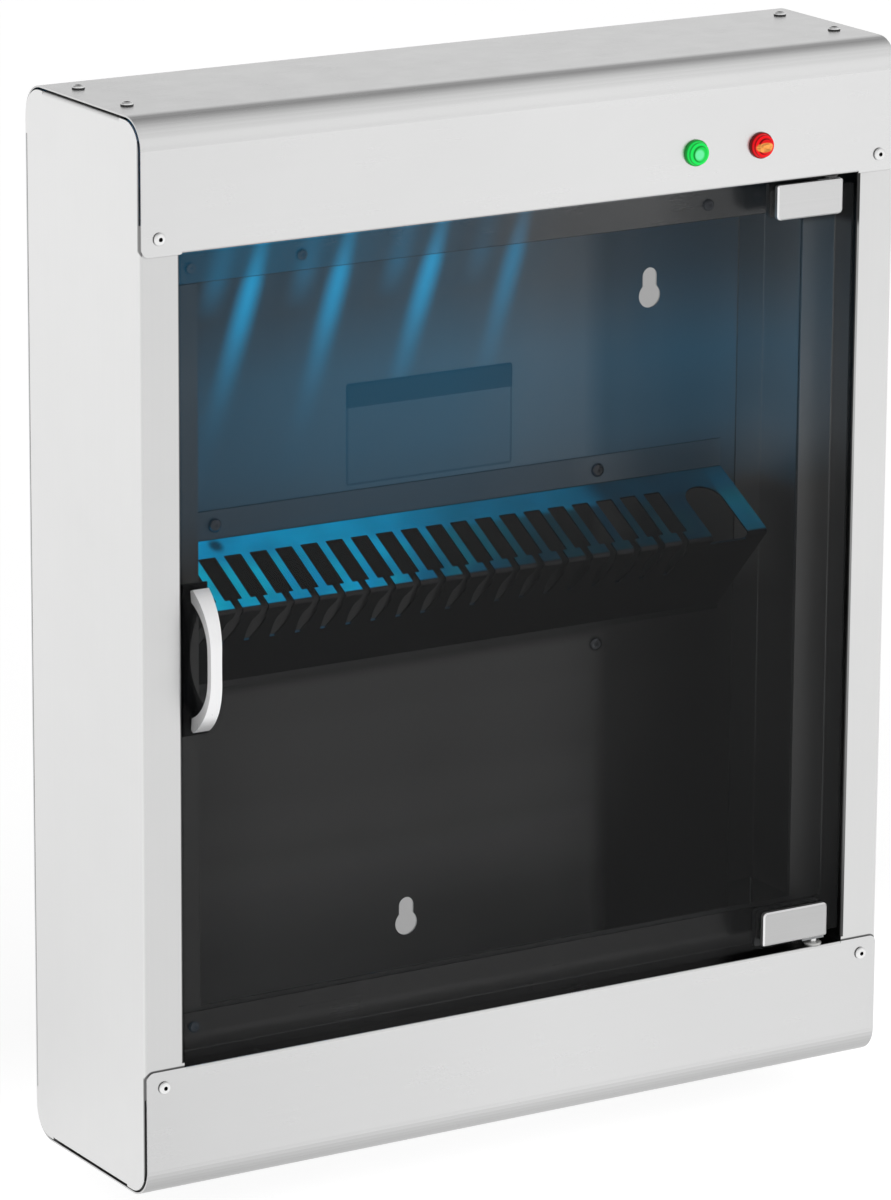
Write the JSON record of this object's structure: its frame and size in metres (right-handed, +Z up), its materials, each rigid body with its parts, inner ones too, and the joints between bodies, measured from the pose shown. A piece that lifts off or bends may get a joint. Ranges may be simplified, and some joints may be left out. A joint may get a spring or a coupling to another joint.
{
  "type": "knife sterilizer cabinet",
  "caption": "Wall cabinet that sterilises kitchen knives with ultraviolet light: stainless casing, tinted glass door, slotted knife rack and indicator lamps.",
  "frame": {"origin": "centre of the rear face, which rests on the wall, at half the casing's width and height", "axes": "+Z up along the casing's height, +Y into the wall, +X to the right seen from the front"},
  "size_m": [0.515, 0.1558, 0.662],
  "materials": {
    "stainless_side": "fine satin, grain along the height",
    "stainless_cover": "fine satin, grain across the width",
    "stainless_inner": "satin, unpolished inside face",
    "stainless_rack": "satin",
    "reflector_aluminium": "bright rolled",
    "tube_glass": "clear quartz glass",
    "cap_metal": "spun satin",
    "white_plastic": "moulded, slightly glossy",
    "black_plastic": "moulded, fine texture",
    "ballast_enamel": "stove enamel",
    "lens_green": "clear coloured lens",
    "lens_red": "clear coloured lens",
    "screw_steel": "plated, machine finish",
    "bush_nylon": "natural nylon",
    "door_glass": "polished, grey tinted",
    "hinge_satin": "satin face, polished bevel",
    "handle_satin": "satin chrome",
    "pad_rubber": "matt",
    "label_foil": "printed foil, plain",
    "rocker_plastic": "moulded, glossy"
  },
  "bodies": {
    "cabinet": {"side_panel_left": "stainless_side", "side_panel_right": "stainless_side", "top_cover": "stainless_cover", "bottom_cover": "stainless_cover", "back_panel": "stainless_inner", "info_label": "label_foil", "inner_frame": "stainless_inner", "lamp_shield": "stainless_inner", "reflector": "reflector_aluminium", "uv_tube": "tube_glass", "tube_end_caps": "cap_metal", "lamp_holders": "white_plastic", "ballast": "ballast_enamel", "starter_holder": "white_plastic", "starter": "white_plastic", "terminal_block": "white_plastic", "knife_rack": "stainless_rack", "pilot_lens_green": "lens_green", "pilot_lens_red": "lens_red", "pilot_bodies": "black_plastic", "pilot_nuts": "cap_metal", "cover_screws": "screw_steel", "frame_screws": "screw_steel", "rack_screws": "screw_steel", "hinge_bushes": "bush_nylon", "magnet_catch": "black_plastic", "door_switch_body": "black_plastic", "cable_gland": "black_plastic", "gland_nut": "black_plastic", "rocker_housing": "black_plastic"},
    "door": {"door_glass": "door_glass", "hinge_outer_plates": "hinge_satin", "hinge_inner_plates": "hinge_satin", "hinge_pins": "screw_steel", "hinge_pads": "pad_rubber", "hinge_screws": "screw_steel", "handle": "handle_satin", "handle_screws": "screw_steel", "handle_washers": "screw_steel", "strike_plate": "screw_steel"},
    "plunger": {"switch_plunger": "white_plastic"},
    "rocker": {"rocker": "rocker_plastic"}
  },
  "joints": [
    {"name": "door_hinge", "type": "hinge", "parent": "cabinet", "child": "door", "pos_m": [0.2135, -0.1324, 0.001], "axis": [0, 0, 1], "range_deg": [0, 110]},
    {"name": "plunger_slide", "type": "slide", "parent": "cabinet", "child": "plunger", "axis": [0, -1, 0], "range_m": [0, 0.0032]},
    {"name": "rocker_tilt", "type": "hinge", "parent": "cabinet", "child": "rocker", "pos_m": [0.1465, -0.038, -0.317], "axis": [0, 1, 0], "range_deg": [0, 16]}
  ],
  "couplings": [
    {"joint": "plunger_slide", "follows": "door_hinge", "m_per_rad": 0.0016}
  ]
}
